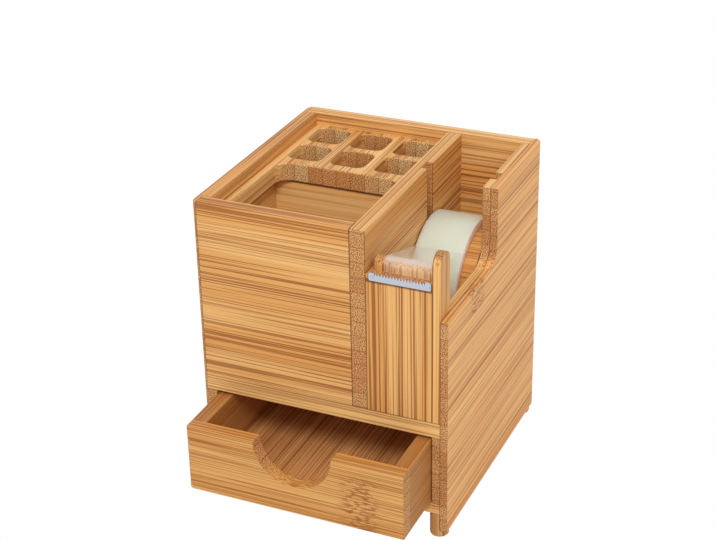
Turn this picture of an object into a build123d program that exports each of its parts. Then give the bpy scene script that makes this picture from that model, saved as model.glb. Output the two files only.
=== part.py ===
from build123d import *
import math
import os

# Bamboo desk organiser: pen compartment and small-item grid on the left, tape bay on the
# right, drawer below. Millimetres, +X to the right along the front, +Y to the back, +Z up.
# The pieces are drawn with the front left lower corner of the base board's plan at zero,
# and are moved at the end, so that the origin is the middle of the footprint of everything,
# the open drawer included, at the level of the feet.

# ---- driving dimensions ---------------------------------------------------------------
case_width = 100.0
case_depth = 101.0
rim_height = 111.0          # top of the walls above the underside of the base board
board = 6.0                 # thickness of the carcass boards
ply = 3.0                   # each of the two layers of the right wall
wall_lip = 2.0              # part of the left wall that covers the ends of the boards
corner_round = 3.0          # upright outer corners
edge_ease = 0.35            # sanded edges
base_thick = 4.5
chamber_height = 28.5       # clear height for the drawer
skirt = 7.2                 # how far the side walls reach below the base board

foot_diameter = 7.2
foot_stand = 3.8            # how far the feet stand below the side walls
foot_side_inset = 4.4       # foot axis to the outer side faces
foot_front_inset = 3.9      # foot axis to the front and back faces
foot_end_round = 1.2
foot_tenon = 2.5            # depth of the foot in the base board
foot_tenon_diameter = 4.8
dowel_gap = 0.05            # glue gap round a dowel

grid_thick = 7.5            # plate with the small-item holes
grid_drop = 5.0             # rim to the plate's top
grid_arm = 3.0              # narrow arms round the pen opening
grid_hole_y = 14.4
grid_hole_round = 3.0
grid_columns = 3
grid_rows = 2
grid_bar = 5.0              # cross bar in front of the first row of holes
grid_web_x = 4.3            # web between holes side by side
grid_end_web = 3.25         # web at each end of a row; the holes share what is left
grid_web_y = 3.8            # web between the rows
grid_rear_web = 2.4         # web behind the last row
pen_opening_round = 6.0
partition_thick = 4.0
partition_setback = 0.8

low_cut_height = 81.0       # top of the low front part of the right wall
low_cut_depth = 50.2        # where the right wall rises to the rim
low_cut_round = 8.0

guide_depth = 9.3           # tape guide beside the cutter
guide_height = 106.0

cutter_height = 99.4
cutter_ledge_height = 94.8
cutter_ledge_depth = 3.5
cutter_left_gap = 1.9       # room at the left of the set-back upper part
cutter_round = 2.6

blade_end_gap = 0.85        # blade to the sides of the tape bay, when centred
blade_shift = 0.6           # blade off the bay's middle, towards the tape guide
blade_bottom = 92.6
blade_height = 3.2
blade_thick = 0.6
blade_tab = 2.2             # full-height tab at each end
blade_teeth = 17
tooth_depth = 1.3
nail_head_diameter = 1.4
nail_head_thick = 0.35
nail_shank_diameter = 0.8
nail_length = 4.0
nail_height = 93.9

axle_diameter = 5.6
roll_shelf_gap = 2.0        # full tape roll to the shelf under it
axle_back = 61.5            # axle behind the front face
slot_depth = 2.5
slot_side_gap = 0.2
axle_end_gap = 0.3
running_gap = 0.06          # hub bore on the axle, radial

tape_width = 19.0
tape_side_gap = 0.7         # tape to the divider
tape_outer_radius = 25.0
core_inner_radius = 13.0
core_thick = 2.0
core_fit_gap = 0.1          # core on the hub
wind_fit_gap = 0.05         # wound tape on its core
hub_flange_radius = 22.0
hub_flange_thick = 5.1
hub_end_gap = 0.4

film_thick = 0.3
film_gap = 0.1              # film above the cutter block
film_release_angle = 131.0  # where the film leaves the roll, from +Y towards +Z
film_release_gap = 0.3
film_edge_gap = 0.5         # film to the tape guide
film_lead = 1.5             # straight start of the film behind the cutter block

drawer_side_gap = 0.4
drawer_bottom_gap = 0.6
drawer_top_gap = 1.2
drawer_back_gap = 1.0
drawer_board = 6.0
drawer_floor_thick = 3.0
drawer_floor_lift = 2.0     # groove above the lower edge
drawer_groove = 2.5
drawer_corner_round = 2.0
drawer_open = 26.0          # how far the drawer stands out at rest
notch_radius = 15.5

# ---- places that follow from the dimensions -----------------------------------------------
inner_left = board
bay_width = tape_side_gap + tape_width + hub_flange_thick + hub_end_gap
cutter_depth = guide_depth
ply_joint = case_width - ply
inner_right = ply_joint - ply
bay_left = inner_right - bay_width
tray_right = bay_left - board
tray_width = tray_right - inner_left
blade_width = bay_width - 2 * blade_end_gap
blade_middle = (bay_left + inner_right) / 2 + blade_shift
inner_back = case_depth - board
chamber_top = base_thick + chamber_height
shelf_top = chamber_top + board
axle_height = shelf_top + roll_shelf_gap + tape_outer_radius
foot_bottom = -(skirt + foot_stand)
grid_webs_x = 2 * grid_end_web + (grid_columns - 1) * grid_web_x
grid_hole_x = (tray_width - grid_webs_x) / grid_columns
grid_top = rim_height - grid_drop
grid_bottom = grid_top - grid_thick
grid_rows_depth = grid_rows * grid_hole_y + (grid_rows - 1) * grid_web_y
grid_first_row = inner_back - grid_rear_web - grid_rows_depth
grid_bar_front = grid_first_row - grid_bar
tape_left = bay_left + tape_side_gap
tape_right = tape_left + tape_width
tape_inner_radius = core_inner_radius + core_thick
foot_radius = foot_diameter / 2
axle_radius = axle_diameter / 2


def span(x_range, y_range, z_range):
    """A plain board between two corners."""
    low = Vector(x_range[0], y_range[0], z_range[0])
    high = Vector(x_range[1], y_range[1], z_range[1])
    size = high - low
    middle = (low + high) / 2
    return Pos(middle.X, middle.Y, middle.Z) * Box(size.X, size.Y, size.Z)


def upright(x, y, radius, z_low, z_high):
    """A round bar or bore along +Z."""
    return Pos(x, y, (z_low + z_high) / 2) * Cylinder(radius, z_high - z_low)


def crosswise(y, z, radius, x_low, x_high):
    """A round bar or bore along +X."""
    return Pos((x_low + x_high) / 2, y, z) * Rot(0, 90, 0) * Cylinder(radius, x_high - x_low)


def side_profile(points, x_low, x_high):
    """A board cut to an outline in the YZ plane."""
    outline = make_face(Polyline(*points, close=True))
    return extrude(Plane.YZ.offset(x_low) * outline, x_high - x_low)


def rounded_plan():
    """Footprint of the case, with three rounded upright corners and a square front right one."""
    plan = Pos(case_width / 2, case_depth / 2) * Rectangle(case_width, case_depth)
    square_corner = plan.vertices().sort_by(lambda v: v.X - v.Y)[-1]
    rounded = [v for v in plan.vertices() if v != square_corner]
    height = rim_height - foot_bottom
    return Pos(0, 0, foot_bottom) * extrude(fillet(rounded, corner_round), height)


case_outline = rounded_plan()
foot_places = {
    "front_left": (foot_side_inset, foot_front_inset),
    "front_right": (case_width - foot_side_inset, foot_front_inset),
    "rear_left": (foot_side_inset, case_depth - foot_front_inset),
    "rear_right": (case_width - foot_side_inset, case_depth - foot_front_inset),
}


def foot_bores():
    """The four stepped holes that take the feet, in the base board and the walls next to it."""
    body_radius = foot_radius + dowel_gap
    tenon_radius = foot_tenon_diameter / 2 + dowel_gap
    bores = [upright(x, y, body_radius, -skirt, 0) for x, y in foot_places.values()]
    bores += [upright(x, y, tenon_radius, 0, foot_tenon) for x, y in foot_places.values()]
    return Part() + bores


# ---- carcass ------------------------------------------------------------------------------
def make_left_wall():
    """Left side: one board with rebates that cover the ends of the front, back, shelf and base."""
    wall = span((0, board), (0, case_depth), (-skirt, rim_height))
    lip_to_face = (wall_lip, board)
    wall -= span(lip_to_face, (0, board), (shelf_top, rim_height))
    wall -= span(lip_to_face, (inner_back, case_depth), (0, rim_height))
    wall -= span(lip_to_face, (0, inner_back), (chamber_top, shelf_top))
    wall -= span(lip_to_face, (0, inner_back), (0, base_thick))
    wall = wall & case_outline
    rim_edges = wall.edges().filter_by(Axis.Y).group_by(Axis.Z)[-1]
    wall = chamfer(rim_edges, edge_ease)
    return wall - foot_bores()


def right_wall_outline(y_low, y_high, z_low, x_low, x_high):
    """Part of the right wall's shape: low in front, full height behind, with a hollow round between."""
    points = [
        (y_low, z_low),
        (y_high, z_low),
        (y_high, rim_height),
        (low_cut_depth, rim_height),
        (low_cut_depth, low_cut_height),
        (y_low, low_cut_height),
    ]
    wall = side_profile(points, x_low, x_high)

    def is_inner_corner(edge):
        middle = edge.center()
        return abs(middle.Y - low_cut_depth) < 1e-4 and abs(middle.Z - low_cut_height) < 1e-4

    corner = [e for e in wall.edges().filter_by(Axis.X) if is_inner_corner(e)]
    return fillet(corner, low_cut_round)


def make_right_wall_outer():
    """Outer layer of the right wall, full height, with the low front part."""
    wall = right_wall_outline(0, case_depth, -skirt, ply_joint, case_width)
    wall = wall & case_outline
    return wall - foot_bores()


def axle_slot(x_low, x_high):
    """Upright slot with a round end, in which the end of the tape axle drops."""
    half = axle_radius + slot_side_gap
    straight = span((x_low, x_high), (axle_back - half, axle_back + half), (axle_height, rim_height))
    return straight + crosswise(axle_back, axle_height, half, x_low, x_high)


def make_right_wall_inner():
    """Inner layer of the right wall beside the tape bay, with the axle slot."""
    wall = right_wall_outline(guide_depth, inner_back, shelf_top, inner_right, ply_joint)
    return wall - axle_slot(inner_right, inner_right + slot_depth)


def make_chamber_side():
    """Inner layer of the right wall beside the drawer."""
    return span((inner_right, ply_joint), (0, inner_back), (base_thick, chamber_top))


def make_back_wall():
    board_solid = span((wall_lip, ply_joint), (inner_back, case_depth), (0, rim_height))
    board_solid = board_solid & case_outline
    board_solid -= foot_bores()
    rim_edges = board_solid.edges().filter_by(Axis.X).group_by(Axis.Z)[-1]
    return chamfer(rim_edges, edge_ease)


def make_front_panel():
    panel = span((wall_lip, tray_right), (0, board), (shelf_top, rim_height))
    panel = panel & case_outline
    rim_edges = panel.edges().filter_by(Axis.X).group_by(Axis.Z)[-1]
    return chamfer(rim_edges, edge_ease)


def make_divider():
    """Full-height board between pen compartment and tape bay, with the other axle slot."""
    board_solid = span((tray_right, bay_left), (0, inner_back), (shelf_top, rim_height))
    rim_edges = board_solid.edges().filter_by(Axis.Y).group_by(Axis.Z)[-1]
    board_solid = chamfer(rim_edges, edge_ease)
    return board_solid - axle_slot(bay_left - slot_depth, bay_left)


def make_shelf():
    return span((wall_lip, ply_joint), (0, inner_back), (chamber_top, shelf_top)) & case_outline


def make_base_board():
    board_solid = span((wall_lip, ply_joint), (0, inner_back), (0, base_thick)) & case_outline
    return board_solid - foot_bores()


def make_foot(x, y):
    """Turned foot with a rounded lower end and a tenon in the base board."""
    foot = upright(x, y, foot_radius, foot_bottom, 0)
    lower_edge = foot.edges().filter_by(GeomType.CIRCLE).group_by(Axis.Z)[0]
    foot = fillet(lower_edge, foot_end_round)
    return foot + upright(x, y, foot_tenon_diameter / 2, 0, foot_tenon)


# ---- pen compartment -----------------------------------------------------------------------
def grid_hole_centres():
    """Centres of the small-item holes, in rows from front to back."""
    pitch_x = grid_hole_x + grid_web_x
    first_x = inner_left + grid_end_web + grid_hole_x / 2
    first_y = grid_first_row + grid_hole_y / 2
    pitch_y = grid_hole_y + grid_web_y
    return [
        (first_x + pitch_x * column, first_y + pitch_y * row)
        for row in range(grid_rows)
        for column in range(grid_columns)
    ]


def make_pen_grid():
    """Plate let in between the walls: six small-item holes behind, one large pen opening in front."""
    plate = span((inner_left, tray_right), (board, inner_back), (grid_bottom, grid_top))
    opening_low = board + grid_arm
    opening_depth = grid_bar_front - opening_low
    opening = RectangleRounded(tray_width - 2 * grid_arm, opening_depth, pen_opening_round)
    opening_middle = (inner_left + tray_width / 2, opening_low + opening_depth / 2)
    plate -= Pos(*opening_middle, grid_bottom) * extrude(opening, grid_thick)
    hole = RectangleRounded(grid_hole_x, grid_hole_y, grid_hole_round)
    for x, y in grid_hole_centres():
        plate -= Pos(x, y, grid_bottom) * extrude(hole, grid_thick)
    top_edges = plate.faces().sort_by(Axis.Z)[-1].inner_wires()
    rims = [edge for wire in top_edges for edge in wire.edges()]
    return chamfer(rims, edge_ease)


def make_partition():
    """Upright board under the plate's cross bar, between pens and small items."""
    front = grid_bar_front + partition_setback
    return span((inner_left, tray_right), (front, front + partition_thick), (shelf_top, grid_bottom))


# ---- tape bay ------------------------------------------------------------------------------
def make_tape_guide():
    """Upright strip beside the cutter, with a fully rounded top, that keeps the tape in line."""
    radius = guide_depth / 2
    strip = span((inner_right, ply_joint), (0, guide_depth), (shelf_top, guide_height - radius))
    return strip + crosswise(radius, guide_height - radius, radius, inner_right, ply_joint)


def make_cutter_block():
    """Block that carries the blade; its top is set back behind a ledge and rounded."""
    points = [
        (0, shelf_top),
        (cutter_depth, shelf_top),
        (cutter_depth, cutter_height),
        (cutter_ledge_depth, cutter_height),
        (cutter_ledge_depth, cutter_ledge_height),
        (0, cutter_ledge_height),
    ]
    block = side_profile(points, bay_left, inner_right)
    top_edges = block.edges().filter_by(Axis.X).group_by(Axis.Z)[-1]
    block = fillet(top_edges, cutter_round)
    gap_right = bay_left + cutter_left_gap
    block -= span((bay_left, gap_right), (0, cutter_depth), (cutter_ledge_height, cutter_height))
    for x in blade_nail_places():
        bore = Pos(x, nail_length / 2, nail_height) * Rot(90, 0, 0)
        block -= bore * Cylinder(nail_shank_diameter / 2, nail_length)
    return block


def blade_nail_places():
    reach = (blade_width - blade_tab) / 2
    return [blade_middle - reach, blade_middle + reach]


def make_cutter_blade():
    """Steel strip with a row of teeth between two rounded tabs."""
    low_x = blade_middle - blade_width / 2
    high_x = blade_middle + blade_width / 2
    top = blade_bottom + blade_height
    valley = top - tooth_depth
    pitch = (blade_width - 2 * blade_tab) / blade_teeth
    points = [(low_x, blade_bottom), (high_x, blade_bottom), (high_x, top), (high_x - blade_tab, top)]
    for tooth in range(blade_teeth, 0, -1):
        right = low_x + blade_tab + pitch * tooth
        points.append((right, valley))
        points.append((right - pitch / 2, top))
    points.append((low_x + blade_tab, valley))
    points.append((low_x + blade_tab, top))
    points.append((low_x, top))
    outline = make_face(Polyline(*points, close=True))
    outer_corners = [v for v in outline.vertices() if abs(v.X - low_x) < 1e-4 or abs(v.X - high_x) < 1e-4]
    outline = fillet(outer_corners, blade_tab / 3)
    blade = extrude(Plane.XZ * outline, blade_thick)
    for x in blade_nail_places():
        bore = Pos(x, -blade_thick / 2, nail_height) * Rot(90, 0, 0)
        blade -= bore * Cylinder(nail_shank_diameter / 2, 2 * blade_thick)
    return blade


def make_blade_nails():
    """Two small flat-headed nails through the blade's tabs into the block."""
    nails = []
    for x in blade_nail_places():
        axis = Pos(x, -blade_thick, nail_height) * Rot(90, 0, 0)
        head = axis * Pos(0, 0, nail_head_thick / 2) * Cylinder(nail_head_diameter / 2, nail_head_thick)
        length = nail_length
        shank = axis * Pos(0, 0, -length / 2) * Cylinder(nail_shank_diameter / 2 - dowel_gap, length)
        nails.append(head + shank)
    return Compound(children=nails)


def make_tape_axle():
    """Dowel that drops in the two slots and carries the hub."""
    axle = crosswise(
        axle_back,
        axle_height,
        axle_radius,
        bay_left - slot_depth + axle_end_gap,
        inner_right + slot_depth - axle_end_gap,
    )
    return fillet(axle.edges().filter_by(GeomType.CIRCLE), edge_ease)


def make_tape_hub():
    """Turned wooden drum in the tape's core, with a flange on its right end."""
    drum_radius = core_inner_radius - core_fit_gap
    drum = crosswise(axle_back, axle_height, drum_radius, bay_left + hub_end_gap, tape_right)
    flange_right = tape_right + hub_flange_thick
    flange = crosswise(axle_back, axle_height, hub_flange_radius, tape_right, flange_right)
    flange = fillet(flange.edges().filter_by(GeomType.CIRCLE), edge_ease)
    bore = crosswise(axle_back, axle_height, axle_radius + running_gap, bay_left, inner_right)
    return drum + flange - bore


def ring(inner_radius, outer_radius):
    """A ring round the tape axis, as wide as the tape."""
    outer = crosswise(axle_back, axle_height, outer_radius, tape_left, tape_right)
    return outer - crosswise(axle_back, axle_height, inner_radius, tape_left, tape_right)


def make_tape_core():
    return ring(core_inner_radius, tape_inner_radius)


def make_tape_roll():
    return ring(tape_inner_radius + wind_fit_gap, tape_outer_radius)


def make_tape_film():
    """Free end of the tape: slanting from the roll to the cutter block, over it and down its front."""
    half = film_thick / 2 + film_gap
    bend = cutter_round + half
    round_y = cutter_depth - cutter_round
    round_z = cutter_height - cutter_round
    reach = tape_outer_radius + film_release_gap + film_thick
    angle = math.radians(film_release_angle)
    release_y = axle_back + reach * math.cos(angle)
    release_z = axle_height + reach * math.sin(angle)

    # the film runs straight from the roll and touches the block's rounded back edge
    distance = math.hypot(release_y - round_y, release_z - round_z)
    touch = math.atan2(release_z - round_z, release_y - round_y) + math.acos(bend / distance)
    start_y = round_y + bend * math.cos(touch) + film_lead * math.sin(touch)
    start_z = round_z + bend * math.sin(touch) - film_lead * math.cos(touch)
    corner_y = round_y + bend * math.tan((math.pi / 2 - touch) / 2)
    corners = [
        (0, start_y, start_z),
        (0, corner_y, cutter_height + half),
        (0, cutter_ledge_depth - half, cutter_height + half),
        (0, cutter_ledge_depth - half, cutter_ledge_height + 2 * film_gap),
    ]
    route = FilletPolyline(*corners, radius=bend)
    film_right = inner_right - film_edge_gap
    film_left = film_right - tape_width
    section = Plane(origin=route @ 0, x_dir=(1, 0, 0), z_dir=route % 0)
    over_block = sweep(section * Rectangle(tape_width, film_thick), path=route)
    over_block = Pos((film_left + film_right) / 2, 0, 0) * over_block

    # the straight stretch slants sideways, because the roll sits further left than the cutter
    free_length = math.hypot(release_y - start_y, release_z - start_z)
    sheet = Plane(origin=route @ 0, x_dir=(1, 0, 0), z_dir=Vector(1, 0, 0).cross(route % 0))
    outline = [(tape_left, -free_length), (tape_right, -free_length), (film_right, 0), (film_left, 0)]
    stretch = extrude(sheet * make_face(Polyline(*outline, close=True)), film_thick / 2, both=True)
    return over_block + stretch


# ---- drawer, drawn closed ------------------------------------------------------------------
drawer_left = inner_left + drawer_side_gap
drawer_right = inner_right - drawer_side_gap
drawer_low = base_thick + drawer_bottom_gap
drawer_high = chamber_top - drawer_top_gap
drawer_back = inner_back - drawer_back_gap
floor_low = drawer_low + drawer_floor_lift
floor_high = floor_low + drawer_floor_thick
inside_left = drawer_left + drawer_board
inside_right = drawer_right - drawer_board
inside_back = drawer_back - drawer_board


def floor_groove():
    """The drawer's floor panel, with the edges that sit in the grooves."""
    return span(
        (inside_left - drawer_groove, inside_right + drawer_groove),
        (drawer_board - drawer_groove, inside_back + drawer_groove),
        (floor_low, floor_high),
    )


def make_drawer_front():
    """Drawer front with a half-round finger notch in its upper edge."""
    front = span((drawer_left, drawer_right), (0, drawer_board), (drawer_low, drawer_high))
    upright_edges = front.edges().filter_by(Axis.Z)
    left_corner = upright_edges.sort_by(lambda e: e.center().X + e.center().Y)[0]
    front = fillet(left_corner, drawer_corner_round)
    middle = (drawer_left + drawer_right) / 2
    notch = Pos(middle, drawer_board / 2, drawer_high) * Rot(90, 0, 0)
    front -= notch * Cylinder(notch_radius, 2 * drawer_board)
    rim = front.edges().filter_by(Axis.X).group_by(Axis.Z)[-1]
    front = chamfer(rim, edge_ease)
    return front - floor_groove()


def make_drawer_side(x_low, x_high):
    side = span((x_low, x_high), (drawer_board, drawer_back), (drawer_low, drawer_high))
    rim = side.edges().filter_by(Axis.Y).group_by(Axis.Z)[-1]
    return chamfer(rim, edge_ease) - floor_groove()


def make_drawer_rear():
    rear = span((inside_left, inside_right), (inside_back, drawer_back), (drawer_low, drawer_high))
    rim = rear.edges().filter_by(Axis.X).group_by(Axis.Z)[-1]
    return chamfer(rim, edge_ease) - floor_groove()


carcass = {
    "left_wall": make_left_wall(),
    "right_wall_outer": make_right_wall_outer(),
    "right_wall_inner": make_right_wall_inner(),
    "chamber_side": make_chamber_side(),
    "back_wall": make_back_wall(),
    "front_panel": make_front_panel(),
    "divider": make_divider(),
    "shelf": make_shelf(),
    "base_board": make_base_board(),
    "pen_grid": make_pen_grid(),
    "partition": make_partition(),
    "tape_guide": make_tape_guide(),
    "cutter_block": make_cutter_block(),
    "cutter_blade": make_cutter_blade(),
    "blade_nails": make_blade_nails(),
}
for place, (foot_x, foot_y) in foot_places.items():
    carcass["foot_" + place] = make_foot(foot_x, foot_y)

tape_parts = {
    "tape_axle": make_tape_axle(),
    "tape_hub": make_tape_hub(),
    "tape_core": make_tape_core(),
    "tape_roll": make_tape_roll(),
    "tape_film": make_tape_film(),
}

drawer = {
    "drawer_front": make_drawer_front(),
    "drawer_left_side": make_drawer_side(drawer_left, inside_left),
    "drawer_right_side": make_drawer_side(inside_right, drawer_right),
    "drawer_rear": make_drawer_rear(),
    "drawer_floor": floor_groove(),
}

# ---- all pieces in the final frame ----------------------------------------------------------
to_origin = Pos(-case_width / 2, -(case_depth - drawer_open) / 2, -foot_bottom)
pulled_out = Pos(0, -drawer_open, 0)

pieces = {name: to_origin * solid for name, solid in {**carcass, **tape_parts}.items()}
pieces.update({name: to_origin * pulled_out * solid for name, solid in drawer.items()})

os.makedirs("parts", exist_ok=True)
for name, solid in pieces.items():
    solid.label = name
    export_step(solid, "parts/" + name + ".step")
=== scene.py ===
import math

import bpy
from mathutils import Matrix, Vector


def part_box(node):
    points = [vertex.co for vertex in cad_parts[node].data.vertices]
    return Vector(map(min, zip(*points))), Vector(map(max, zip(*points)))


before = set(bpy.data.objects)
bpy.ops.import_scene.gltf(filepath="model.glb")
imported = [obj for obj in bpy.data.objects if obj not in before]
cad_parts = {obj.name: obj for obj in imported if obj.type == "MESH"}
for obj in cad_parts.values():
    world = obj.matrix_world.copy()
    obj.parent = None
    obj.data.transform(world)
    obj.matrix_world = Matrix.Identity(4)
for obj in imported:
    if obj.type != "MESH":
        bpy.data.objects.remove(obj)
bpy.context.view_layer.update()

# ---- bamboo boards of the case ------------------------------------------------------------
# Boards glued up from narrow bamboo strips and butted together. Each strip has its own caramel
# tone and fine darker fibres along the grain, and its cut ends are browner and show the fibres
# as dots. A thin dark line of glue shows where one board meets another; the same kind of line
# is also painted as shade under the pen grid's plate, at the partition's top and under the blade.


def srgb(red, green, blue):
    """A colour given by its screen values from 0 to 255, as the linear values that shaders use."""
    linear = []
    for value in (red, green, blue):
        value /= 255
        linear.append(value / 12.92 if value <= 0.04045 else ((value + 0.055) / 1.055) ** 2.4)
    return (*linear, 1.0)


def add(tree, kind, inputs, **settings):
    """A node with its settings; an input is a value, or the socket that feeds it."""
    node = tree.nodes.new(kind)
    for name, value in settings.items():
        setattr(node, name, value)
    for key, value in inputs.items():
        if isinstance(value, bpy.types.NodeSocket):
            tree.links.new(value, node.inputs[key])
        else:
            node.inputs[key].default_value = value
    return node


def calc(tree, operation, *values):
    """The result of one math node."""
    return add(tree, "ShaderNodeMath", dict(enumerate(values)), operation=operation).outputs[0]


def distance(tree, value, level):
    """How far a value lies from a level, on either side."""
    return calc(tree, "ABSOLUTE", calc(tree, "SUBTRACT", value, level))


def remap(tree, value, low, high, to_low=0.0, to_high=1.0):
    """A value moved smoothly from one range to another, and held at its ends."""
    inputs = {0: value, 1: low, 2: high, 3: to_low, 4: to_high}
    return add(tree, "ShaderNodeMapRange", inputs, interpolation_type="SMOOTHSTEP").outputs[0]


def mix(tree, factor, first, second):
    """Two colours mixed by a factor."""
    inputs = {0: factor, 6: first, 7: second}
    return add(tree, "ShaderNodeMix", inputs, data_type="RGBA").outputs[2]


def stain(tree, colour, mask, strength, darker):
    """A colour that turns into a darker one where a mask shows, up to a strength."""
    return mix(tree, calc(tree, "MULTIPLY", mask, strength), colour, darker)


def parts(tree, vector):
    """The X, Y and Z of a vector."""
    return add(tree, "ShaderNodeSeparateXYZ", {0: vector}).outputs


def noise(tree, place, rates, detail=2.0, roughness=0.5):
    """Cloudy noise at a place, whose parts run at their own rates, in turns a metre."""
    turns = [calc(tree, "MULTIPLY", part, rate) for part, rate in zip(place, rates)]
    vector = add(tree, "ShaderNodeCombineXYZ", dict(enumerate(turns))).outputs[0]
    inputs = {"Vector": vector, "Scale": 1.0, "Detail": detail, "Roughness": roughness}
    return add(tree, "ShaderNodeTexNoise", inputs).outputs[0]


def random_tone(tree, number):
    """A random value from 0 to 1, the same wherever the number is the same."""
    return add(tree, "ShaderNodeTexWhiteNoise", {"W": number}, noise_dimensions="1D").outputs[0]


def group(name, inputs, outputs):
    """An empty shader node group, with its inputs and its outputs by name."""
    tree = bpy.data.node_groups.new(name, "ShaderNodeTree")
    for way, labels in (("INPUT", inputs), ("OUTPUT", outputs)):
        for label in labels:
            tree.interface.new_socket(label, in_out=way, socket_type="NodeSocketFloat")
    given = tree.nodes.new("NodeGroupInput").outputs
    result = tree.nodes.new("NodeGroupOutput").inputs
    return tree, given, result


# How far the figure moves from one seed, or from one strip, to the next
SEED_ALONG = 0.37  # metres along the grain
SEED_STRIPS = 3.7  # strips
SEED_BLOCKS = 5.3  # blocks of end grain
STRIP_ACROSS = 0.113  # metres across the grain

# Each noise has its rates along, across and through the board, in turns a metre, and each mask
# made from one has the noise's values between which the mask rises from 0 to 1
CLOUD = ((5, 130, 130), (0.36, 0.64))
STREAK = ((4, 800, 800), (0.5, 0.66))
FIBRE = ((8, 1750, 1750), (0.51, 0.57))
DOTS = ((0, 2350, 2350), (0.44, 0.56))
SPECKS = ((330, 1500, 1500), (0.5, 0.56))
WANDER_RATES = (60, 220, 220)

BLOCKS_A_METRE = 170.0
BLOCK_JOINT = (0.45, 0.5)  # its joint darkens between these, 0 its middle and 0.5 its edge
STRIP_JOINT = 0.00022  # half the joint between two strips
NODE_LENGTH = (0.0085, 0.0155)  # a node's patch fades out between these distances along it
NODE_FADE = 0.003  # and over this distance at its sides
NODE_WANDER = 0.012  # how far its ends wander


def noise_mask(tree, place, rates, rise, detail=2.0, roughness=0.5):
    """Mask of the parts of a noise that are above a level."""
    return remap(tree, noise(tree, place, rates, detail, roughness), *rise)


def node_patch(tree, given, place):
    """Mask of the rough specks where a node of the bamboo was planed off."""
    from_node = distance(tree, given["Along"], given["Node Along"])
    away = calc(tree, "MULTIPLY_ADD", noise(tree, place, WANDER_RATES), NODE_WANDER, from_node)
    from_middle = distance(tree, given["Across"], given["Node Across"])
    aside = calc(tree, "SUBTRACT", from_middle, given["Node Reach"])
    lengthways = remap(tree, away, *NODE_LENGTH, 1.0, 0.0)
    patch = calc(tree, "MULTIPLY", lengthways, remap(tree, aside, 0.0, NODE_FADE, 1.0, 0.0))
    return calc(tree, "MULTIPLY", patch, noise_mask(tree, place, *SPECKS))


def build_figure():
    """The node group that gives the masks of the bamboo's figure."""
    tree, given, result = group(
        "bamboo_figure",
        ("Along", "Across", "Through", "Strip Width", "Seed", "Node Along", "Node Across", "Node Reach"),
        ("Strip", "Cloud", "Streak", "Fibre", "Joint", "Dots", "Node", "Block", "Block Joint"),
    )
    across, through = given["Across"], given["Through"]
    width, seed = given["Strip Width"], given["Seed"]
    patch = node_patch(tree, given, (given["Along"], across, through))
    along = calc(tree, "ADD", given["Along"], calc(tree, "MULTIPLY", seed, SEED_ALONG))

    strips = calc(tree, "ADD", calc(tree, "DIVIDE", across, width), seed)
    index = calc(tree, "FLOOR", strips)
    number = calc(tree, "ADD", index, calc(tree, "MULTIPLY", seed, SEED_STRIPS))
    inside = calc(tree, "SUBTRACT", strips, index)
    to_edge = calc(tree, "MINIMUM", inside, calc(tree, "SUBTRACT", 1.0, inside))
    to_joint = calc(tree, "MULTIPLY", to_edge, width)

    shifted = calc(tree, "ADD", across, calc(tree, "MULTIPLY", number, STRIP_ACROSS))
    place = (along, shifted, through)
    blocks = calc(tree, "MULTIPLY_ADD", across, BLOCKS_A_METRE, calc(tree, "MULTIPLY", seed, SEED_BLOCKS))
    from_block = distance(tree, calc(tree, "FRACT", blocks), 0.5)

    masks = {
        "Strip": random_tone(tree, number),
        "Cloud": noise_mask(tree, place, *CLOUD),
        "Streak": noise_mask(tree, place, *STREAK, detail=3.0, roughness=0.55),
        "Fibre": noise_mask(tree, place, *FIBRE),
        "Joint": remap(tree, to_joint, 0.0, STRIP_JOINT, 1.0, 0.0),
        "Dots": noise_mask(tree, (along, across, through), *DOTS, detail=1.0),
        "Node": patch,
        "Block": random_tone(tree, calc(tree, "FLOOR", blocks)),
        "Block Joint": remap(tree, from_block, *BLOCK_JOINT),
    }
    for label, mask in masks.items():
        tree.links.new(mask, result[label])
    return tree


figure = build_figure()

CARAMEL = srgb(220, 156, 84)
PALE = srgb(244, 198, 130)
ORANGE_STREAK = srgb(196, 124, 54)
DARK_FIBRE = srgb(146, 82, 28)
END_DOT = srgb(116, 66, 32)
BROWN_END = (srgb(214, 150, 90), srgb(236, 182, 120))
# dark colour of the glue joints, also used for the painted shade lines
JOINT_AND_SHADE_COLOUR = srgb(84, 46, 22)

BOARD_STRIP = 0.019  # width of a strip
WIDE_STRIP = 0.024
NARROW_STRIP = 0.0062
DOWEL_STRIP = 0.05  # wider than a dowel, which is one strip

FINE_GLUE = 0.00025  # half the width of a glue line
THIN_GLUE = 0.0003
WIDE_GLUE = 0.00035

NO_NODE = (9.0, 9.0, 0.0)  # metres away from the board

# How squarely a face has to look along an axis, from where it begins to count to where it does
CUT_FACING = (0.55, 0.8)
JOINT_AND_SHADE_FACING = (0.5, 0.7)
JOINT_AND_SHADE_STRENGTH = 0.75

BOARD_ROUGHNESS = 0.46
CUT_ROUGHER = 0.2
EDGE_ROUND = 0.0004
FIBRE_DEPTH = 0.0001


def board_colour(tree, masks, warm, pale, contrast):
    """Two tones in strips and clouds, under orange streaks, dark fibres, joints and a node."""
    tone = calc(tree, "MULTIPLY_ADD", masks["Cloud"], 0.6, calc(tree, "MULTIPLY", masks["Strip"], 0.4))
    colour = mix(tree, tone, warm, pale)
    colour = stain(tree, colour, masks["Streak"], 0.4 * contrast, ORANGE_STREAK)
    fibre = calc(tree, "MULTIPLY_ADD", masks["Cloud"], -0.25 * contrast, 0.8 * contrast)
    colour = stain(tree, colour, masks["Fibre"], fibre, DARK_FIBRE)
    colour = stain(tree, colour, masks["Joint"], 0.3, END_DOT)
    return stain(tree, colour, masks["Node"], 0.8, DARK_FIBRE)


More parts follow.
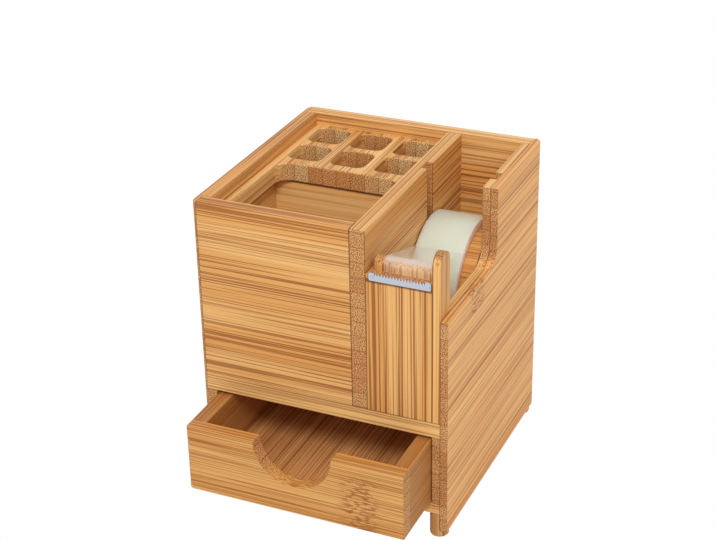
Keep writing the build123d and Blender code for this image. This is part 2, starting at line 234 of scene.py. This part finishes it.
def cut_colour(tree, masks, tones):
    """Blocks of two tones with the fibres as dots."""
    colour = mix(tree, masks["Block"], *tones)
    colour = stain(tree, colour, masks["Dots"], 0.8, END_DOT)
    return stain(tree, colour, masks["Block Joint"], 0.6, END_DOT)


def draw_joint_and_shade_lines(tree, colour, place, facing, lines):
    """Dark glue joints and painted shade lines at levels on an axis, not on faces that look along it."""
    for axis, level, reach in lines:
        beside = remap(tree, calc(tree, "ABSOLUTE", facing[axis]), *JOINT_AND_SHADE_FACING, JOINT_AND_SHADE_STRENGTH, 0.0)
        near = remap(tree, distance(tree, place[axis], level), 0.4 * reach, reach, 1.0, 0.0)
        colour = stain(tree, colour, near, beside, JOINT_AND_SHADE_COLOUR)
    return colour


def new_material(name):
    """A new material, its node tree and its shader."""
    material = bpy.data.materials.new(name)
    material.use_nodes = True
    tree = material.node_tree
    return material, tree, tree.nodes["Principled BSDF"]


def bamboo(
    name,
    grain,
    across,
    seed,
    strip=BOARD_STRIP,
    warm=CARAMEL,
    pale=PALE,
    contrast=1.0,
    node=NO_NODE,
    end=BROWN_END,
    joint_and_shade_lines=(),
):
    """Bamboo with its grain along one axis and its strips side by side across another.

    A node is the middle of its patch, along and across the grain, and half its width.
    Joint and shade lines is a list of dark lines, for glue joints and for painted shade: the axis, the
    level on it and half the line's width.
    """
    material, tree, shader = new_material(name)
    coords = add(tree, "ShaderNodeTexCoord", {}).outputs
    place = parts(tree, coords["Object"])
    facing = parts(tree, coords["Normal"])
    through = "XYZ".replace(grain, "").replace(across, "")
    inputs = {
        "Along": place[grain],
        "Across": place[across],
        "Through": place[through],
        "Strip Width": strip,
        "Seed": seed,
        "Node Along": node[0],
        "Node Across": node[1],
        "Node Reach": node[2],
    }
    masks = add(tree, "ShaderNodeGroup", inputs, node_tree=figure).outputs

    is_cut = remap(tree, calc(tree, "ABSOLUTE", facing[grain]), *CUT_FACING)
    board = board_colour(tree, masks, warm, pale, contrast)
    colour = mix(tree, is_cut, board, cut_colour(tree, masks, end))
    colour = draw_joint_and_shade_lines(tree, colour, place, facing, joint_and_shade_lines)
    tree.links.new(colour, shader.inputs["Base Color"])

    rough = calc(tree, "MULTIPLY_ADD", is_cut, CUT_ROUGHER, BOARD_ROUGHNESS)
    tree.links.new(rough, shader.inputs["Roughness"])
    shader.inputs["Specular IOR Level"].default_value = 0.32
    height = calc(tree, "MULTIPLY", masks["Fibre"], -1.0)
    rounded = add(tree, "ShaderNodeBevel", {"Radius": EDGE_ROUND}, samples=4).outputs[0]
    relief = {"Strength": 0.12, "Distance": FIBRE_DEPTH, "Height": height, "Normal": rounded}
    tree.links.new(add(tree, "ShaderNodeBump", relief).outputs[0], shader.inputs["Normal"])
    return material


def paint(material, *names):
    """Gives CAD nodes a material in place of their own."""
    for name in names:
        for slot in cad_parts[name].material_slots:
            slot.material = material


paint(bamboo("bamboo_left_wall", grain="Y", across="Z", seed=0.3), "left_wall")

panel_low, panel_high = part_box("front_panel")
panel_glue = [
    ("Z", panel_low[2], THIN_GLUE),
    ("X", panel_low[0], THIN_GLUE),
    ("X", panel_high[0], THIN_GLUE),
]
panel = bamboo("bamboo_front_panel", grain="X", across="Z", seed=1.4, strip=WIDE_STRIP, joint_and_shade_lines=panel_glue)
paint(panel, "front_panel")

ORANGE_BACK = srgb(236, 172, 98)
paint(bamboo("bamboo_back_wall", grain="X", across="Z", seed=2.2, warm=ORANGE_BACK), "back_wall")

divider_low, divider_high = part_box("divider")
divider_glue = [
    ("X", divider_low[0], FINE_GLUE),
    ("X", divider_high[0], WIDE_GLUE),
    ("Z", divider_low[2], THIN_GLUE),
]
paint(bamboo("bamboo_divider", grain="Y", across="Z", seed=3.1, joint_and_shade_lines=divider_glue), "divider")

paint(bamboo("bamboo_shelf", grain="X", across="Y", seed=4.6), "shelf")
paint(bamboo("bamboo_base", grain="X", across="Y", seed=5.3), "base_board")

# ---- right wall ---------------------------------------------------------------------------
# Two layers glued face to face: the outer one is a paler, pinker bamboo with long even grain,
# the inner one, in two pieces above and below the shelf, is the same as the other boards.

PINK = srgb(238, 172, 100)
PINK_PALE = srgb(250, 196, 124)
LONG_STRIP = 0.034
WALL_NODE = (-0.008, 0.090, 0.006)
outer_wall = bamboo(
    "bamboo_right_outer",
    grain="Y",
    across="Z",
    seed=6.7,
    strip=LONG_STRIP,
    warm=PINK,
    pale=PINK_PALE,
    contrast=0.8,
    node=WALL_NODE,
    joint_and_shade_lines=[("X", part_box("right_wall_outer")[0][0], THIN_GLUE)],
)
paint(outer_wall, "right_wall_outer")
inner_wall = bamboo("bamboo_right_inner", grain="Y", across="Z", seed=7.2)
paint(inner_wall, "right_wall_inner", "chamber_side")

# ---- pen grid -----------------------------------------------------------------------------
# The plate is glued up from narrow strips that run from front to back, so its cross bar and
# the walls of its holes show blocks of speckled end grain. An upright partition stands under
# it; painted shade darkens the plate's lower edge and, deeper, the partition's upper edge.

GRID_END = (srgb(232, 160, 92), srgb(255, 220, 156))
GRID_SHADE = 0.0007  # half the painted shade line along the plate's lower edge
grid = bamboo(
    "bamboo_grid",
    grain="Y",
    across="X",
    seed=8.1,
    strip=NARROW_STRIP,
    end=GRID_END,
    joint_and_shade_lines=[("Z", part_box("pen_grid")[0][2], GRID_SHADE)],
)
paint(grid, "pen_grid")

PARTITION_SHADE = 0.0012  # half the painted shade line along the partition's upper edge
partition = bamboo(
    "bamboo_partition",
    grain="X",
    across="Z",
    seed=9.4,
    warm=srgb(250, 192, 118),
    pale=srgb(255, 210, 140),
    contrast=0.5,
    joint_and_shade_lines=[("Z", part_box("partition")[1][2], PARTITION_SHADE)],
)
paint(partition, "partition")

# ---- feet ---------------------------------------------------------------------------------
# Four turned dowels, each let into the underside of the case by a tenon, in a slightly duller
# wood than the boards.

DULL_DOWEL = srgb(196, 142, 88)
foot_wood = bamboo("dowel_upright", grain="Z", across="X", seed=10.2, strip=DOWEL_STRIP, warm=DULL_DOWEL)
paint(foot_wood, *(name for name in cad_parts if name.startswith("foot_")))

# ---- cutter block and tape guide ----------------------------------------------------------
# Both are small pieces that stand with their grain upright. The block shows strong narrow
# stripes and a line of painted shade under the blade; the guide is warmer and more even.

blade_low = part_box("cutter_blade")[0]
BLADE_SHADE = 0.0011  # half the painted shade line under the blade
SHADE_BELOW = 0.0003  # its middle below the blade's lower edge
block_low, block_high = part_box("cutter_block")
block_joints_and_shade = [
    ("X", block_high[0], WIDE_GLUE),
    ("Z", block_low[2], THIN_GLUE),
    ("Z", blade_low[2] - SHADE_BELOW, BLADE_SHADE),
]
block = bamboo(
    "bamboo_block", grain="Z", across="X", seed=12.6, strip=NARROW_STRIP, contrast=1.1, joint_and_shade_lines=block_joints_and_shade
)
paint(block, "cutter_block")

GUIDE_STRIP = 0.02
guide_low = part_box("tape_guide")[0]
guide_glue = [("X", guide_low[0], THIN_GLUE), ("Z", guide_low[2], THIN_GLUE)]
guide = bamboo(
    "bamboo_guide",
    grain="Z",
    across="Y",
    seed=13.2,
    strip=GUIDE_STRIP,
    warm=srgb(236, 178, 106),
    joint_and_shade_lines=guide_glue,
)
paint(guide, "tape_guide")

# ---- cutter blade and nails ---------------------------------------------------------------
# A strip of bright steel with a row of punched teeth, held to the block by two small nails
# of the same steel.


def plain(name, colour, roughness, metallic=0.0):
    """A plain surface of one colour."""
    material, _, shader = new_material(name)
    shader.inputs["Base Color"].default_value = colour
    shader.inputs["Roughness"].default_value = roughness
    shader.inputs["Metallic"].default_value = metallic
    return material


paint(plain("blade_steel", srgb(206, 214, 228), 0.2, metallic=1.0), "cutter_blade", "blade_nails")

# ---- tape axle and hub --------------------------------------------------------------------
# The axle is a plain dowel across the bay. The hub on it is a turned wooden drum with its
# grain along the axle, more orange than the boards.

paint(bamboo("dowel_axle", grain="X", across="Z", seed=11.3, strip=DOWEL_STRIP), "tape_axle")

HUB_STRIP = 0.008
hub = bamboo(
    "hub_wood",
    grain="X",
    across="Z",
    seed=14.8,
    strip=HUB_STRIP,
    warm=srgb(214, 146, 70),
    pale=srgb(230, 172, 96),
    contrast=0.9,
)
paint(hub, "tape_hub")

# ---- tape roll and core -------------------------------------------------------------------
# Clear film wound on a card core. Many layers of it look milky and slightly green, and the
# sides of the roll show fine rings round the axle.

axle_low, axle_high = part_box("tape_axle")
axle_centre = (Vector(axle_low) + Vector(axle_high)) / 2
RING_RATE = 2400  # turns a metre outwards
RING_RISE = (0.35, 0.65)
SIDE_FACING = (0.5, 0.8)
FILM_GREEN = srgb(220, 229, 214)
RING_TONES = (srgb(232, 212, 206), srgb(250, 238, 232))


def wound_tape():
    """Milky film that lets light in, with rings of two tones on its sides."""
    material, tree, shader = new_material("wound_tape")
    coords = add(tree, "ShaderNodeTexCoord", {}).outputs
    from_axle = {0: coords["Object"], 1: tuple(axle_centre)}
    part = parts(tree, add(tree, "ShaderNodeVectorMath", from_axle, operation="SUBTRACT").outputs[0])
    square = calc(tree, "MULTIPLY", part["Y"], part["Y"])
    square = calc(tree, "MULTIPLY_ADD", part["Z"], part["Z"], square)
    radius = calc(tree, "SQRT", square)
    rings = noise_mask(tree, (radius,), (RING_RATE,), RING_RISE, detail=3.0)
    side = mix(tree, rings, *RING_TONES)
    facing = parts(tree, coords["Normal"])
    is_side = remap(tree, calc(tree, "ABSOLUTE", facing["X"]), *SIDE_FACING)
    tree.links.new(mix(tree, is_side, FILM_GREEN, side), shader.inputs["Base Color"])
    shader.inputs["Roughness"].default_value = 0.28
    shader.inputs["Subsurface Weight"].default_value = 0.8
    shader.inputs["Subsurface Radius"].default_value = (0.006, 0.006, 0.005)
    shader.inputs["Subsurface Scale"].default_value = 1.0
    return material


paint(wound_tape(), "tape_roll")
paint(plain("core_card", srgb(196, 178, 150), 0.7), "tape_core")

# ---- free end of the tape -----------------------------------------------------------------
# One layer of clear film with a sticky underside, from the roll to the top of the cutter
# block. It lets the wood show through, most of all where it stands steep; where it lies flat its
# whitish colour shows more as a painted highlight.

STEEP_TO_FLAT = (0.5, 0.97)  # how far the film looks up
FILM_ALPHA_AND_HIGHLIGHT = (0.1, 0.34)  # how much it shows, steep and flat; the flat end is a painted highlight


def clear_film():
    """Clear film that shows more where it lies flat, as a painted highlight."""
    material, tree, shader = new_material("clear_film")
    shader.inputs["Base Color"].default_value = srgb(240, 236, 228)
    shader.inputs["Roughness"].default_value = 0.08
    facing = parts(tree, add(tree, "ShaderNodeTexCoord", {}).outputs["Normal"])
    tree.links.new(remap(tree, facing["Z"], *STEEP_TO_FLAT, *FILM_ALPHA_AND_HIGHLIGHT), shader.inputs["Alpha"])
    shader.inputs["Specular IOR Level"].default_value = 0.3
    return material


paint(clear_film(), "tape_film")

# ---- drawer -------------------------------------------------------------------------------
# Butt-jointed box: the front runs the full width, its grain across, with the sides behind it,
# whose darker tones are painted shade, and the floor's grain runs from front to back.

FRONT_NODE = (0.0265, 0.024, 0.012)
drawer_front = bamboo(
    "bamboo_drawer_front",
    grain="X",
    across="Z",
    seed=15.5,
    strip=WIDE_STRIP,
    warm=srgb(208, 146, 76),
    pale=srgb(226, 174, 104),
    node=FRONT_NODE,
)
paint(drawer_front, "drawer_front")
# The sides are painted darker as shade, since they lie in the shade of the case.
drawer_sides_painted_shade = bamboo(
    "bamboo_drawer_sides",
    grain="Y",
    across="Z",
    seed=16.1,
    strip=WIDE_STRIP,
    warm=srgb(172, 116, 62),
    pale=srgb(196, 142, 82),
)
paint(drawer_sides_painted_shade, "drawer_left_side", "drawer_right_side")
paint(bamboo("bamboo_drawer_rear", grain="X", across="Z", seed=17.9), "drawer_rear")

FLOOR_STRIP = 0.012
drawer_floor = bamboo(
    "bamboo_drawer_floor",
    grain="Y",
    across="X",
    seed=18.4,
    strip=FLOOR_STRIP,
    warm=srgb(204, 140, 84),
    pale=srgb(236, 176, 114),
)
paint(drawer_floor, "drawer_floor")

# ---- floor, light and camera --------------------------------------------------------------
# A plain pale floor in the soft light of a white studio and one large lamp. The camera sees
# the floor and the background as white, and looks from the photograph's angle.


def any_ray(tree, *kinds):
    """1 for the rays of the named kinds, and 0 for all others."""
    path = add(tree, "ShaderNodeLightPath", {}).outputs
    found = path[kinds[0]]
    for kind in kinds[1:]:
        found = calc(tree, "MAXIMUM", found, path[kind])
    return found


WHITE = (1, 1, 1, 1)
WARM_WHITE = (1, 0.98, 0.95)
STUDIO_STRENGTH = 0.74
FLOOR_GREY = (0.8, 0.8, 0.8, 1)

world = bpy.data.worlds.new("studio")
bpy.context.scene.world = world
world.use_nodes = True
sky = world.node_tree
sky.nodes.clear()
shown = add(sky, "ShaderNodeBackground", {"Color": WHITE, "Strength": 1.0})
lit = add(sky, "ShaderNodeBackground", {"Color": (*WARM_WHITE, 1), "Strength": STUDIO_STRENGTH})
is_seen = any_ray(sky, "Is Camera Ray", "Is Glossy Ray", "Is Transmission Ray")
choice = add(sky, "ShaderNodeMixShader", {0: is_seen, 1: lit.outputs[0], 2: shown.outputs[0]})
add(sky, "ShaderNodeOutputWorld", {0: choice.outputs[0]})


def pale_floor():
    """A pale floor that takes part in the light and looks white to the camera."""
    material, tree, _ = new_material("floor")
    tree.nodes.clear()
    matte = add(tree, "ShaderNodeBsdfDiffuse", {"Color": FLOOR_GREY})
    white = add(tree, "ShaderNodeEmission", {"Color": WHITE, "Strength": 1.0})
    is_seen = any_ray(tree, "Is Camera Ray", "Is Transmission Ray")
    both = add(tree, "ShaderNodeMixShader", {0: is_seen, 1: matte.outputs[0], 2: white.outputs[0]})
    add(tree, "ShaderNodeOutputMaterial", {0: both.outputs[0]})
    return material


FLOOR_SIZE = 6.0
FLOOR_BELOW = 0.0002  # under the feet
bpy.ops.mesh.primitive_plane_add(size=FLOOR_SIZE, location=(0, 0, -FLOOR_BELOW))
ground = bpy.context.object
ground.name = "floor"
ground.data.materials.append(pale_floor())

LAMP_PLACE = Vector((0.3, -0.75, 1.0))
LAMP_TARGET = Vector((0, 0, 0.05))
LAMP_SIZE = 0.36
LAMP_POWER = 6.0
light = bpy.data.lights.new("key", "AREA")
light.shape = "SQUARE"
light.size = LAMP_SIZE
light.energy = LAMP_POWER
light.color = WARM_WHITE
lamp = bpy.data.objects.new("key", light)
bpy.context.scene.collection.objects.link(lamp)
lamp.location = LAMP_PLACE
lamp.rotation_euler = (LAMP_TARGET - LAMP_PLACE).to_track_quat("-Z", "Y").to_euler()

CAMERA_PLACE = (0.22985, -0.50944, 0.37029)
CAMERA_YAW, CAMERA_PITCH, CAMERA_ROLL = 24.56, -26.8, -1.29
CAMERA_LENS = 83.41
CAMERA_SHIFT = 0.007
camera_data = bpy.data.cameras.new("camera")
camera_data.sensor_width = 36
camera_data.lens = CAMERA_LENS
camera_data.shift_x = CAMERA_SHIFT
camera_data.shift_y = -CAMERA_SHIFT
camera_data.clip_start = 0.01
camera = bpy.data.objects.new("camera", camera_data)
bpy.context.scene.collection.objects.link(camera)
turn = Matrix.Rotation(math.radians(CAMERA_YAW), 4, "Z")
tilt = Matrix.Rotation(math.radians(90 + CAMERA_PITCH), 4, "X")
roll = Matrix.Rotation(math.radians(CAMERA_ROLL), 4, "Z")
camera.matrix_world = Matrix.Translation(CAMERA_PLACE) @ turn @ tilt @ roll
bpy.context.scene.camera = camera

bpy.context.scene.view_settings.view_transform = "Standard"
